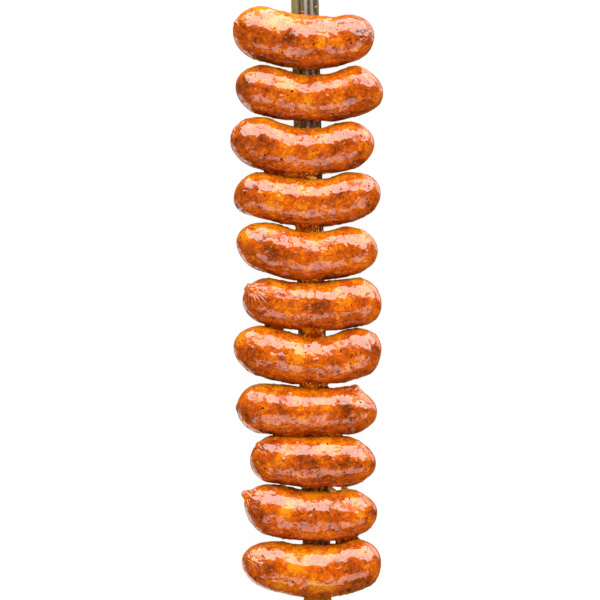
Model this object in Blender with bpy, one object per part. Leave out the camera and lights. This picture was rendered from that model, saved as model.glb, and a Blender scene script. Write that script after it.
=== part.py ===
"""Eleven grilled sausage links threaded crosswise on one flat, fluted steel skewer, lying flat.

The skewer runs along Y. Each link is bent, with its hollow side towards +Y, and the blade passes through
its middle. The links rest on the ground plane, and the side that shows faces up.
"""

import math
from collections import namedtuple

import bmesh
import bpy
from mathutils import Matrix, Vector, noise

# All sizes are in millimetres. Meshes and places are scaled to metres as the objects are made.
MM = 0.001

# The blade, with a pressed rib along its middle and a groove on each side of the rib.
BLADE_WIDTH = 20.0
BLADE_THICKNESS = 2.2
BLADE_HEIGHT = 18.2
BUTT_Y = 264.0
TIP_Y = -264.0
RIB_HEIGHT = 1.1
RIB_HALF_WIDTH = 3.3
GROOVE_DEPTH = 0.8
GROOVE_CENTRE = 4.6
GROOVE_HALF_WIDTH = 1.8
SECTION_STEPS = 10

# The blade's ends: a long point, and a butt with rounded corners.
POINT_LENGTH = 34.0
POINT_WIDTH = 1.6
POINT_STEPS = 5
BUTT_CORNER = 3.0
BUTT_STEPS = 3

# The slot that the blade has pressed through every link.
SLOT_CLEARANCE = 0.3

# A link is a bent tube with round ends, a little flat where it lies and uneven all over.
RINGS_ALONG_BODY = 8
RINGS_IN_CAP = 6
SIDES = 18
SHOULDER = 28.0
BEND_SHARPNESS = 2.6
FLAT_DEPTH = 0.9
LUMP_HEIGHT = 0.55
LUMP_LENGTH = 17.0
LUMP_SEED_STEP = 7.3

# A tie is a short twisted stub of casing with ridges, sunk into the round end of a link.
TIE_RADIUS = 2.1
TIE_RIDGES = 4
TIE_RIDGE_SHARE = 0.14
TIE_TWIST = math.radians(11.0)
TIE_SINK = 2.2
TIE_NECK_AT = 0.2
TIE_NECK_SHARE = 0.72
TIE_HEAD_AT = 0.8
TIE_HEAD_SHARE = 0.9
TIE_TIP_SHARE = 0.5

# A tie points away from the middle of its link, turned up along the skewer and lifted towards +Z, in degrees.
Tie = namedtuple("Tie", "turn lift length")

# along: where the lowest point of the bend lies along the skewer, and low: how far to its right.
# reach, rise, droop, cap and ties are pairs, for the left and the right end: reach from the skewer, rise of
# the end above the lowest point, droop of the very tip, length of the round end, and the tie on it.
# thick: thickness at the left shoulder, in the middle and at the right shoulder.
Link = namedtuple("Link", "along low reach rise droop cap thick ties")

LINKS = (
    Link(185.8, 11, (52.4, 49.6), (10.8, 5.2), (2.0, 0.8), (23, 19), (39.2, 39.4, 34.4),
         (Tie(20, 15, 1.8), Tie(1, 42, 1.6))),
    Link(145.9, 8, (51.4, 55.2), (9.8, 8.2), (1.0, 5.6), (21, 20), (35.8, 33.8, 35.4),
         (Tie(15, -38, 3.0), Tie(-20, -30, 2.6))),
    Link(107.3, 1, (56.0, 48.0), (12.2, 7.6), (3.6, 2.8), (23, 23), (36.8, 33.0, 34.6),
         (Tie(24, 12, 1.6), Tie(-22, -30, 2.6))),
    Link(70.2, 5, (54.4, 51.8), (9.6, 8.9), (5.4, 2.8), (20, 23), (33.6, 34.8, 35.4),
         (Tie(30, -36, 3.0), Tie(5, -40, 3.0))),
    Link(31.9, 2, (53.2, 48.8), (12.4, 6.2), (1.8, 3.4), (25, 23), (36.4, 35.0, 36.0),
         (Tie(10, -38, 3.0), Tie(-12, -35, 3.0))),
    Link(-4.6, 1, (49.6, 50.8), (7.2, 4.2), (2.0, 3.4), (20, 18), (34.0, 34.4, 36.0),
         (Tie(32, 25, 3.6), Tie(-4, -38, 3.0))),
    Link(-43.6, 5, (56.8, 50.0), (11.2, 8.4), (0.6, 1.0), (24, 19), (37.0, 33.9, 36.6),
         (Tie(20, -40, 3.0), Tie(10, -36, 3.0))),
    Link(-80.3, 12, (55.4, 45.8), (3.6, 0.9), (0.6, 2.2), (20, 22), (36.4, 33.6, 34.8),
         (Tie(4, 10, 1.6), Tie(67, 20, 3.0))),
    Link(-117.2, 12, (46.6, 44.2), (3.8, 3.0), (1.8, 4.4), (20, 24), (34.6, 37.4, 36.8),
         (Tie(39, 20, 2.0), Tie(-18, -30, 2.4))),
    Link(-156.0, 6, (51.2, 44.4), (7.8, 5.2), (-1.0, 3.2), (22, 24), (37.2, 36.6, 35.6),
         (Tie(30, 8, 6.6), Tie(-16, -28, 2.6))),
    Link(-195.6, 4, (54.2, 46.4), (7.6, 8.4), (0.0, 3.0), (28, 18), (36.4, 38.6, 36.6),
         (Tie(18, 30, 2.4), Tie(-14, -34, 3.0))),
)

LEFT, RIGHT = 0, 1
SIGN = (-1, 1)


def clear_scene():
    for obj in list(bpy.data.objects):
        bpy.data.objects.remove(obj)


def make_material(name, colour, roughness, metallic=0.0):
    material = bpy.data.materials.new(name)
    material.use_nodes = True
    shader = material.node_tree.nodes["Principled BSDF"]
    shader.inputs["Base Color"].default_value = (*colour, 1.0)
    shader.inputs["Roughness"].default_value = roughness
    shader.inputs["Metallic"].default_value = metallic
    return material


def new_object(name, bm, place=Vector(), material=None):
    """Turns a mesh in millimetres into a smooth-shaded object in metres at its place."""
    bmesh.ops.recalc_face_normals(bm, faces=bm.faces)
    bm.transform(Matrix.Scale(MM, 4))
    mesh = bpy.data.meshes.new(name)
    bm.to_mesh(mesh)
    bm.free()
    mesh.shade_smooth()
    obj = bpy.data.objects.new(name, mesh)
    obj.location = place * MM
    bpy.context.scene.collection.objects.link(obj)
    if material:
        mesh.materials.append(material)
    return obj


def as_helper(obj):
    obj.hide_render = True
    obj.display_type = "WIRE"
    return obj


def add_boolean(obj, operation, other):
    modifier = obj.modifiers.new(operation.title(), "BOOLEAN")
    modifier.operation = operation
    modifier.solver = "EXACT"
    modifier.object = other


def skin_rings(bm, rings):
    """Joins neighbouring rings of vertices with faces and closes both ends."""
    for ring, following in zip(rings, rings[1:]):
        for i, corner in enumerate(ring):
            j = (i + 1) % len(ring)
            bm.faces.new((corner, ring[j], following[j], following[i]))
    return bm.faces.new(rings[0]), bm.faces.new(rings[-1])


def hump(distance, half_width):
    """A smooth bump, 1 in its middle and 0 from half_width outwards."""
    return math.cos(0.5 * math.pi * min(1.0, abs(distance) / half_width)) ** 2


def blade_relief(x):
    """Height of the pressed rib and grooves above the flat of the blade."""
    rib = RIB_HEIGHT * hump(x, RIB_HALF_WIDTH)
    groove = GROOVE_DEPTH * hump(abs(x) - GROOVE_CENTRE, GROOVE_HALF_WIDTH)
    return rib - groove


def blade_section(clearance):
    """The blade's closed outline across its length: the upper face, then the lower face back."""
    half_width = 0.5 * BLADE_WIDTH + clearance
    half_thickness = 0.5 * BLADE_THICKNESS + clearance
    across = [half_width * (i / SECTION_STEPS - 1.0) for i in range(2 * SECTION_STEPS + 1)]
    upper = [(x, blade_relief(x) + half_thickness) for x in across]
    lower = [(x, blade_relief(x) - half_thickness) for x in reversed(across)]
    return upper + lower


def blade_width_share(y):
    """Share of the full width that is left at y, narrowed by the point and by the rounded butt corners."""
    from_tip = y - TIP_Y
    from_butt = BUTT_Y - y
    if from_tip < POINT_LENGTH:
        least = POINT_WIDTH / BLADE_WIDTH
        return least + (1.0 - least) * math.sin(0.5 * math.pi * from_tip / POINT_LENGTH)
    if from_butt < BUTT_CORNER:
        inset = BUTT_CORNER - math.sqrt(BUTT_CORNER**2 - (BUTT_CORNER - from_butt) ** 2)
        return 1.0 - 2.0 * inset / BLADE_WIDTH
    return 1.0


def make_skewer(material):
    stations = [TIP_Y + POINT_LENGTH * i / POINT_STEPS for i in range(POINT_STEPS + 1)]
    corner_angles = [0.5 * math.pi * i / BUTT_STEPS for i in range(BUTT_STEPS + 1)]
    stations += [BUTT_Y - BUTT_CORNER * (1.0 - math.sin(a)) for a in corner_angles]
    bm = bmesh.new()
    rings = []
    for y in stations:
        share = blade_width_share(y)
        rings.append([bm.verts.new((x * share, y, z)) for x, z in blade_section(0.0)])
    skin_rings(bm, rings)
    return new_object("skewer", bm, Vector((0.0, 0.0, BLADE_HEIGHT)), material)


def make_slot_cutter():
    """The blade's section with room round it, along the whole stretch that carries links."""
    bm = bmesh.new()
    rings = []
    for y in (TIP_Y + POINT_LENGTH, BUTT_Y - BUTT_CORNER):
        rings.append([bm.verts.new((x, y, z)) for x, z in blade_section(SLOT_CLEARANCE)])
    skin_rings(bm, rings)
    return as_helper(new_object("slot_cutter", bm, Vector((0.0, 0.0, BLADE_HEIGHT))))


def link_place(link):
    """Where a link sits on the skewer, as high as presses its fullest stretch flat by FLAT_DEPTH."""
    return Vector((0.0, link.along, 0.5 * max(link.thick) - FLAT_DEPTH))


def curl(link, x):
    """Rise of the centreline above its lowest point, without the droop of the tips."""
    side = LEFT if x < link.low else RIGHT
    span = link.reach[side] - SIGN[side] * link.low
    share = min(1.0, abs(x - link.low) / span)
    return link.rise[side] * math.sin(0.5 * math.pi * share) ** BEND_SHARPNESS


def ring_slope(link, x):
    """Slope that the rings stand square to."""
    step = 0.5
    return (curl(link, x + step) - curl(link, x - step)) / (2.0 * step)


def spine(link, x):
    """The centreline at x: both ends curl up and their tips droop a little."""
    side = LEFT if x < link.low else RIGHT
    into_cap = max(0.0, 1.0 - (link.reach[side] - SIGN[side] * x) / link.cap[side])
    return Vector((x, curl(link, x) - link.droop[side] * into_cap**2, 0.0))


def link_radius(link, x):
    """Radius across the centreline, with an elliptical round end on each side."""
    side = LEFT if x < 0 else RIGHT
    share = min(1.0, abs(x) / SHOULDER)
    share = share * share * (3.0 - 2.0 * share)
    radius = 0.5 * (link.thick[1] + (link.thick[2 * side] - link.thick[1]) * share)
    into_cap = max(0.0, 1.0 - (link.reach[side] - abs(x)) / link.cap[side])
    return radius * math.sqrt(max(0.0, 1.0 - into_cap**2))


def lump(point, number):
    """Unevenness of the casing, as a radial offset."""
    seed = Vector((LUMP_SEED_STEP * number, 0.0, 0.0))
    return LUMP_HEIGHT * noise.noise(point / LUMP_LENGTH + seed)


def ring_stations(link):
    """Places of the rings along a link, closer together where the ends turn round."""
    left = -link.reach[LEFT] + link.cap[LEFT]
    right = link.reach[RIGHT] - link.cap[RIGHT]
    angles = [0.5 * math.pi * i / RINGS_IN_CAP for i in range(1, RINGS_IN_CAP)]
    stations = [left - link.cap[LEFT] * math.cos(a) for a in angles]
    stations += [left + (right - left) * i / RINGS_ALONG_BODY for i in range(RINGS_ALONG_BODY + 1)]
    stations += [right + link.cap[RIGHT] * math.cos(a) for a in reversed(angles)]
    return stations


def link_ring(link, number, x):
    """One ring of points round the centreline at x, kept above the ground."""
    across = Vector((-ring_slope(link, x), 1.0, 0.0)).normalized()
    up = Vector((0.0, 0.0, 1.0))
    place = link_place(link)
    radius = link_radius(link, x)
    fullness = radius / link_radius(link, 0.0)
    points = []
    for i in range(SIDES):
        angle = 2.0 * math.pi * i / SIDES
        outwards = math.cos(angle) * across + math.sin(angle) * up
        point = spine(link, x) + radius * outwards
        point += lump(point + place, number) * fullness * outwards
        point.z = max(-place.z, point.z)
        points.append(point)
    return points


def make_tie(link, name, side, parent):
    """A twisted stub on the round end, where its direction leaves the end's ellipsoid."""
    tie = link.ties[side]
    turn, lift = math.radians(tie.turn), math.radians(tie.lift)
    level = math.cos(lift)
    forward = Vector((SIGN[side] * level * math.cos(turn), level * math.sin(turn), math.sin(lift)))
    core = spine(link, SIGN[side] * (link.reach[side] - link.cap[side]))
    half_thick = link_radius(link, core.x)
    stretch = Vector((forward.x / link.cap[side], forward.y / half_thick, forward.z / half_thick))
    foot = core + forward / stretch.length
    facing = forward.to_track_quat("Z", "Y").to_matrix()
    profile = (
        (-TIE_SINK, 1.0),
        (TIE_NECK_AT * tie.length, TIE_NECK_SHARE),
        (TIE_HEAD_AT * tie.length, TIE_HEAD_SHARE),
        (tie.length, TIE_TIP_SHARE),
    )
    bm = bmesh.new()
    rings = []
    for along, width in profile:
        ring = []
        for i in range(2 * TIE_RIDGES):
            angle = math.pi * i / TIE_RIDGES + TIE_TWIST * along
            radius = TIE_RADIUS * width * (1.0 + TIE_RIDGE_SHARE * (-1) ** i)
            local = Vector((radius * math.cos(angle), radius * math.sin(angle), along))
            ring.append(bm.verts.new(foot + facing @ local))
        rings.append(ring)
    skin_rings(bm, rings)
    obj = as_helper(new_object(name, bm))
    obj.parent = parent
    return obj


def make_link(link, number, material, slot_cutter):
    bm = bmesh.new()
    rings = [[bm.verts.new(point) for point in link_ring(link, number, x)] for x in ring_stations(link)]
    for side, end_face in enumerate(skin_rings(bm, rings)):
        pole = bmesh.ops.poke(bm, faces=[end_face])["verts"][0]
        pole.co = spine(link, SIGN[side] * link.reach[side])
    name = f"link_{number:02d}"
    obj = new_object(name, bm, link_place(link), material)
    for side, side_name in enumerate(("left", "right")):
        add_boolean(obj, "UNION", make_tie(link, f"{name}_{side_name}_tie", side, obj))
    add_boolean(obj, "DIFFERENCE", slot_cutter)
    return obj


def main():
    clear_scene()
    casing = make_material("grilled_casing", (0.52, 0.16, 0.03), 0.3)
    steel = make_material("skewer_steel", (0.42, 0.41, 0.36), 0.35, 1.0)
    make_skewer(steel)
    slot_cutter = make_slot_cutter()
    for number, link in enumerate(LINKS, start=1):
        make_link(link, number, casing, slot_cutter)


main()
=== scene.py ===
"""Eleven glossy grilled sausage links threaded crosswise on a flat, fluted steel skewer, on a pale floor.

The skewer runs along Y and the links lie across it, with their hollow sides towards +Y. The shapes are
worked out in millimetres and scaled to metres as the objects are made. The add-on's lengths are in metres.
"""

import math
import random
from collections import namedtuple

import bmesh
import bpy
import numpy as np
from mathutils import Matrix, Vector, noise
from mathutils.bvhtree import BVHTree


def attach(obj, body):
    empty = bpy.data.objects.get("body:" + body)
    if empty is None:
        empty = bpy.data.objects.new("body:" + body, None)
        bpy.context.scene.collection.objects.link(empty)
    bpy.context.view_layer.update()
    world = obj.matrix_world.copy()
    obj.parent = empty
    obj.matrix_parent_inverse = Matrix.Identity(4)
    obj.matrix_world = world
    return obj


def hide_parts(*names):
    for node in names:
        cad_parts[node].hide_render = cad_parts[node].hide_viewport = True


bl_info = {
    "name": "Grilled Sausage Skewer",
    "version": (1, 0, 0),
    "blender": (4, 5, 0),
    "location": "View3D > Sidebar > Sausages",
    "description": "Makes grilled sausage links on a flat skewer, with their casing, fat, pepper and light",
    "category": "Add Mesh",
}

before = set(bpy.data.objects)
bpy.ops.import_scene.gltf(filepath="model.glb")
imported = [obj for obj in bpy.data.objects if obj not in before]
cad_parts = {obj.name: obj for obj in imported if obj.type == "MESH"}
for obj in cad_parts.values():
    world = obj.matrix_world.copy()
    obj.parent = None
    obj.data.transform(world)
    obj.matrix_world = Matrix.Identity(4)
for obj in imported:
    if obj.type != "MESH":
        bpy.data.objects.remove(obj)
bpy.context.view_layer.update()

BODY = "root"
MM = 0.001
LEFT, RIGHT = 0, 1
SIGN = (-1, 1)

# The blade, with a pressed rib along its middle and a groove on each side of the rib.
BLADE_WIDTH = 20.0
BLADE_THICKNESS = 2.2
BLADE_HEIGHT = 18.2
BUTT_Y = 264.0
TIP_Y = -264.0
Flute = namedtuple("Flute", "x half_width height")
FLUTES = (Flute(-0.6, 3.0, 1.0), Flute(-4.2, 1.7, -0.8), Flute(2.9, 1.4, -0.7), Flute(4.9, 1.7, 0.6))
POINT_LENGTH = 34.0
POINT_WIDTH = 1.6
BUTT_CORNER = 3.0
EDGE_RADIUS = 0.5
BLADE_STEPS = 80
BLADE_SPACING = 4.0
POINT_STEPS = 24
CORNER_STEPS = 8
SLOT_CLEARANCE = 0.15
SLOT_STEPS = 60

# The bent tube of a link: where it is fully thick, how its ends curl and how far it is pressed flat.
SHOULDER = 28.0
BEND_SHARPNESS = 2.6
FLAT_DEPTH = 0.9
SLOPE_STEP = 0.5

# Rings in a round end, rings along the body and sides of a ring, at full detail.
LINK_DETAIL = (44, 122, 172)

# The casing's unevenness, with a seed for each kind of it.
LUMP_LENGTH = 17.0
LUMP_SEED_STEP = 7.3
FIRMNESS = 2.5
DIMPLE_SEED = 3.1
GRAIN_SEED = 5.7
WRINKLE_SEED = 9.4
BUMP_SEED = 21.3
BUMP_START = 0.25
BUMP_MOST = 0.5
FOLD_FADE = 0.45

# The twisted stub of casing on each end. Its widths are shares of TIE_RADIUS, and those at the foot and the
# tip grow with its length.
TIE_RADIUS = 2.1
TIE_RIDGES = 4
TIE_RIDGE_SHARE = 0.14
TIE_CREASES = 2.3
TIE_CREASE_SHARE = 0.05
TIE_TWIST = math.radians(11.0)
TIE_SINK = 2.2
TIE_SIDES = 40
TIE_STEPS = 8
TIE_FOOT_WIDTH = 1.15
TIE_FOOT_GROWTH = 0.22
TIE_TIP_WIDTH = 0.48
TIE_TIP_GROWTH = 0.07
TIE_ROOT_SHARE = 1.45
TIE_TAPER = 0.95
TIE_TAPER_END = 0.94
TIE_END_WIDTH = 0.44
TIE_END_FLARE = 0.5
TIE_BUTTON_PLACE = 1.02
TIE_BUTTON_WIDTH = 0.20
FLARE_PLACE = 0.8
FLARE_LENGTH = 0.22

# The pleats in the casing round a tie, and the pit that the tie sits in.
PLEAT_COUNT = 11.0
PLEAT_SHARE = 0.14
PLEAT_MOST = 0.5
PLEAT_WANDER = 1.5
PLEAT_WANDER_LENGTH = 5.0
PLEAT_START = 2.5
PIT_SHARE = 0.8
PIT_REACH = 4.0

# The thin folds that stand out round a tie. Their reach and half width grow with the tie's length, up to a
# length of RIB_TIE_MOST.
TUBE_SIDES = 8
RIB_COUNT = 12
RIB_START = 2.1
RIB_STEPS = 10
RIB_LEAST_POINTS = 5
RIB_TIE_MOST = 3.6
RIB_REACH = 1.6
RIB_REACH_GROWTH = 1.5
RIB_WIDTH = 0.22
RIB_WIDTH_GROWTH = 0.13
RIB_UNEVEN_TURN = 0.5
RIB_UNEVEN_REACH = 0.9
RIB_SWELL_START = 0.25
RIB_SWELL_SPAN = 0.72
RIB_WANDER = 0.35
RIB_WANDER_TURNS = 2.4
RIB_SINK = 0.15
RIB_CLEARANCE = 1.2
RIB_LEAP = 2.5
RIB_CAST = 9.0
RIB_NOISE_STEP = 3.7
LINK_NOISE_STEP = 5.1
SIDE_NOISE_STEP = 9.3

Tie = namedtuple("Tie", "turn lift length flare", defaults=(0.0,))
Link = namedtuple("Link", "along low reach rise droop cap thick ties")

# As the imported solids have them, in millimetres and degrees: where the bend's lowest point lies along the
# skewer and to its right, then for the left and right end how far it reaches, rises and droops, and the
# length of its round cap, then the thickness at the left, in the middle and at the right, and the two ties.
LINKS = (
    Link(185.8, 11, (52.4, 49.6), (10.8, 5.2), (2.0, 0.8), (23, 19), (39.2, 39.4, 34.4),
         (Tie(20, 15, 1.8), Tie(1, 42, 1.6))),
    Link(145.9, 8, (51.4, 55.2), (9.8, 8.2), (1.0, 5.6), (21, 20), (35.8, 33.8, 35.4),
         (Tie(15, -38, 3.0), Tie(-20, -30, 2.6))),
    Link(107.3, 1, (56.0, 48.0), (12.2, 7.6), (3.6, 2.8), (23, 23), (36.8, 33.0, 34.6),
         (Tie(24, 12, 1.6), Tie(-22, -30, 2.6))),
    Link(70.2, 5, (54.4, 51.8), (9.6, 8.9), (5.4, 2.8), (20, 23), (33.6, 34.8, 35.4),
         (Tie(30, -36, 3.0), Tie(5, -40, 3.0))),
    Link(31.9, 2, (53.2, 48.8), (12.4, 6.2), (1.8, 3.4), (25, 23), (36.4, 35.0, 36.0),
         (Tie(10, -38, 3.0), Tie(-12, -35, 3.0))),
    Link(-4.6, 1, (49.6, 50.8), (7.2, 4.2), (2.0, 3.4), (20, 18), (34.0, 34.4, 36.0),
         (Tie(32, 25, 3.6, 0.65), Tie(-4, -38, 3.0))),
    Link(-43.6, 5, (56.8, 50.0), (11.2, 8.4), (0.6, 1.0), (24, 19), (37.0, 33.9, 36.6),
         (Tie(20, -40, 3.0), Tie(10, -36, 3.0))),
    Link(-80.3, 12, (55.4, 45.8), (3.6, 0.9), (0.6, 2.2), (20, 22), (36.4, 33.6, 34.8),
         (Tie(4, 10, 1.0), Tie(67, 8, 2.2))),
    Link(-117.2, 12, (46.6, 44.2), (3.8, 3.0), (1.8, 4.4), (20, 24), (34.6, 37.4, 36.8),
         (Tie(39, 20, 2.0), Tie(-18, -30, 2.4))),
    Link(-156.0, 6, (51.2, 44.4), (7.8, 5.2), (-1.0, 3.2), (22, 24), (37.2, 36.6, 35.6),
         (Tie(30, 8, 6.6), Tie(-16, -28, 2.6))),
    Link(-195.6, 4, (54.2, 46.4), (7.6, 8.4), (0.0, 3.0), (28, 18), (36.4, 38.6, 36.6),
         (Tie(18, 30, 2.4), Tie(-14, -34, 3.0))),
)

# Dents and ridges of single links, where the photograph shows them: x from the skewer, offset towards +Y
# from the link's centreline, half length and half width, turn of the length in degrees, and height.
Fold = namedtuple("Fold", "link x offset half_length half_width turn height")
FOLDS = (
    Fold(1, -18, 2, 9.0, 2.6, 84, 0.9),
    Fold(1, -10, 4, 6.5, 5.0, 0, -0.8),
    Fold(1, -20, 17, 7.0, 6.0, 0, -0.9),
    Fold(1, 8, -7, 9.0, 3.5, 20, 0.7),
    Fold(2, -2, 12, 9.0, 4.0, 0, -0.6),
    Fold(2, -36, 4, 5.0, 1.1, 60, 0.5),
    Fold(2, 48, 11, 7.0, 4.0, -52, -1.4),
    Fold(3, 30, -10, 7.0, 3.0, 30, 0.6),
    Fold(3, 36, 5, 5.0, 1.1, 120, 0.5),
    Fold(4, 24, -9, 9.0, 4.0, 12, 0.8),
    Fold(4, -38, 6, 5.0, 1.0, 55, 0.45),
    Fold(5, 24, 6, 5.0, 1.1, 118, 0.55),
    Fold(5, 28, 5, 5.5, 1.0, 128, 0.6),
    Fold(5, 32, 3, 4.5, 1.0, 140, 0.45),
    Fold(6, 30, -6, 8.0, 4.0, 20, 0.7),
    Fold(7, -28, -4, 7.0, 4.0, 0, 0.8),
    Fold(7, -4, 10, 9.0, 4.0, 0, -0.7),
    Fold(7, 36, 8, 5.0, 1.1, 125, 0.5),
    Fold(8, -34, 6, 3.0, 7.0, 10, 0.7),
    Fold(8, 20, -9, 9.0, 4.0, 0, 0.8),
    Fold(8, 40, 9, 7.0, 4.0, -55, -1.5),
    Fold(8, 40, -12, 7.0, 4.0, 48, -0.9),
    Fold(8, 34, 3, 6.0, 1.1, 100, 0.5),
    Fold(9, -4, 8, 8.0, 5.0, 0, 0.7),
    Fold(9, -37, 11, 4.0, 3.0, 40, 1.3),
    Fold(9, -33, 15, 3.0, 2.0, 20, 0.9),
    Fold(9, 39, 10, 7.0, 4.0, -58, -1.5),
    Fold(9, 38, -14, 7.0, 4.0, 50, -0.9),
    Fold(10, 39, 10, 7.0, 4.0, -52, -1.4),
    Fold(10, 34, 6, 5.0, 1.1, 115, 0.5),
    Fold(10, 4, 4, 5.0, 5.0, 0, 0.8),
    Fold(10, 28, -6, 8.0, 5.0, 15, 0.8),
    Fold(11, -27, -3, 11.0, 1.1, -14, 0.5),
    Fold(11, -24, -7, 8.0, 1.0, 12, 0.4),
    Fold(11, 6, -4, 10.0, 1.2, 8, 0.5),
)

# Pleats that fan out from a spot on top of a link, x and y from the skewer's middle: the ways of the first
# and the last pleat, in degrees from +X towards +Y, how many there are, their length and their half width.
Fan = namedtuple("Fan", "link x y first last count length half_width")
FANS = (
    Fan(6, -43.2, 9.6, 248.0, 352.0, 9, 10.5, 0.55),
    Fan(9, -37.0, -104.5, 235.0, 330.0, 4, 6.0, 0.45),
    Fan(10, -48.0, -144.5, 275.0, 358.0, 4, 6.0, 0.28),
)
FAN_START = 3.4
FAN_UNEVEN_TURN = 0.4
FAN_UNEVEN_LENGTH = 0.7
FAN_NOISE_STEP = 2.9
FAN_NOISE_PLACE = 1.7

# Patches that the fire has browned more (+1) or less (-1) than the casing round them, placed as the folds
# are.
# The dark patch of link 1 at x -11 lies in the hollow there and is partly painted shade.
Patch = namedtuple("Patch", "link x offset size browning")
PATCHES = (
    # The second patch darkens the hollow of link 1: partly painted shade.
    Patch(1, -41, 0, 7, 0.8), Patch(1, -11, 0, 6, 0.8), Patch(1, 40, -5, 8, 0.7),
    Patch(1, 27, 14, 5, 0.9), Patch(1, -34, 9, 8, -1.0), Patch(1, 16, 0, 8, -0.8),
    Patch(1, -19, 10, 8, -1.2),
    Patch(2, -45, 1, 6, 1.1), Patch(2, 44, -1, 7, 0.6), Patch(2, 31, -4, 4, 0.8),
    Patch(2, -15, 6, 8, -1.0), Patch(2, 3, -3, 9, -0.9),
    Patch(3, -30, -2, 7, 0.8), Patch(3, -51, -6, 5, 0.9), Patch(3, 26, -1, 7, 0.9),
    Patch(3, 10, -6, 4, 0.8), Patch(3, -15, 1, 6, -0.9), Patch(3, 41, -2, 6, -0.9),
    Patch(4, -44, -4, 7, 1.0), Patch(4, 43, -2, 8, 0.9), Patch(4, -24, 0, 8, -1.0),
    Patch(4, 2, 2, 9, -0.8),
    Patch(5, -28, -5, 8, 1.0), Patch(5, 25, -3, 5, 0.7), Patch(5, -47, 6, 7, -0.9),
    Patch(5, 3, 12, 7, -0.9), Patch(5, 12, 0, 7, -0.9),
    Patch(6, 6, 0, 7, 1.4), Patch(6, -44, -4, 6, 0.8), Patch(6, -9, 2, 6, -0.9), Patch(6, 21, 1, 7, -0.9),
    Patch(7, -44, -3, 9, 0.9), Patch(7, 43, -2, 7, 1.0), Patch(7, -23, 0, 5, 0.7),
    Patch(7, -50, 6, 6, -1.2), Patch(7, -14, 3, 7, -1.2), Patch(7, 33, -6, 6, -0.9),
    Patch(8, -49, -2, 7, 0.8), Patch(8, -23, -1, 5, 0.7), Patch(8, 22, 0, 7, 1.0),
    Patch(8, -36, 0, 5, -0.8), Patch(8, 5, 1, 8, -1.1),
    Patch(9, -29, 11, 5, 1.0), Patch(9, -2, 1, 9, 0.8), Patch(9, 24, 2, 6, 0.9),
    Patch(9, -22, 3, 6, -0.7), Patch(9, 6, 15, 6, -1.0), Patch(9, 9, -12, 6, 0.8),
    Patch(10, -42, -4, 6, 0.8), Patch(10, -11, -2, 6, 0.8), Patch(10, 13, -4, 5, 1.0),
    Patch(10, 41, 1, 4, 0.8), Patch(10, -21, 4, 7, -1.2), Patch(10, 33, 3, 5, -0.9),
    Patch(10, -54, 8, 2, 1.5),
    Patch(11, -35, 0, 8, 1.2), Patch(11, 1, 1, 4, 0.9), Patch(11, 24, -1, 6, 0.9),
    Patch(11, 26, -13, 4, 0.9), Patch(11, -12, 4, 8, -1.2), Patch(11, -26, -12, 7, -1.1),
    Patch(11, 0, -11, 8, -1.1),
)
PATCH_RAGGEDNESS = 0.5
PATCH_RAG_LENGTH = 4.0

# How much more or less than usual the casing is browned across a link, from its edge towards the skewer's
# tip (-1) to its edge towards the butt (1), and between which places the film of fat gets wetter.
# Partly browning: the darker edge towards the tip, which faces away from the window, is painted shade, and
# the lighter edge towards the butt is painted light.
SHADING_AND_BROWNING_ACROSS = ((-1.0, 1.4), (-0.85, 0.9), (-0.62, 0.05), (-0.25, 0.0), (0.0, 0.3), (1.0, -0.95))
WET_FROM = -0.2
WET_TO = 0.12

# Browned juice that closes the gap below a link from one x to another, its dark tones partly painted shade
# where the links touch, and threads of fat across the gap.
Juice = namedtuple("Juice", "link left right")
JUICES = (
    Juice(3, -35.0, 9.6), Juice(4, -13.2, 9.4), Juice(5, -10.8, 10.6), Juice(6, -36.7, -17.5),
    Juice(6, -10.4, 12.0), Juice(7, -11.9, 13.6), Juice(8, -31.8, 23.6), Juice(10, 11.6, 33.0),
)
JUICE_SINK = 2.5
JUICE_TOP = 21.6
JUICE_FOOT = 13.0
JUICE_INSET = 3.2
JUICE_SPACING = 0.5
JUICE_LEAST_RINGS = 8
JUICE_STEPS = 18
JUICE_ROUNDING = 2.5
JUICE_END_SHARE = 0.25
JUICE_DROP = 1.2
JUICE_RISE = 4.5
JUICE_RISE_POWER = 1.5
Lumps = namedtuple("Lumps", "height spacing seed")
JUICE_LUMPS = (Lumps(0.7, 4.5, 2.2), Lumps(0.25, 1.5, 4.4))

Thread = namedtuple("Thread", "link from_x to_x thickness")
THREADS = (
    Thread(4, 0.8, 1.4, 0.5), Thread(4, 2.6, 2.2, 0.6), Thread(4, 4.2, 5.0, 0.5), Thread(4, 6.6, 6.2, 0.7),
    Thread(4, 8.4, 8.8, 0.5), Thread(3, -3.0, 2.4, 1.8), Thread(3, -0.6, 4.6, 2.0),
    Thread(9, -25.4, -22.6, 1.8), Thread(9, -23.6, -21.0, 1.9), Thread(9, 9.4, 11.6, 2.2),
    Thread(9, 11.0, 13.8, 2.4), Thread(9, 19.2, 20.2, 2.2), Thread(9, 21.4, 22.2, 2.4),
    Thread(6, -29.0, -18.0, 0.7), Thread(8, 6.0, 14.0, 0.6),
)
THREAD_HEIGHT = 22.0
THREAD_STEPS = 14
THREAD_SINK = 0.8
THREAD_SWING = 0.5
THREAD_HALF_WAVES = 3.0
THREAD_SAG = 1.0
THREAD_LUMP_LENGTH = 1.3
THREAD_LUMP_SHARE = 0.35
THREAD_FOOT_SHARE = 0.8

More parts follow.
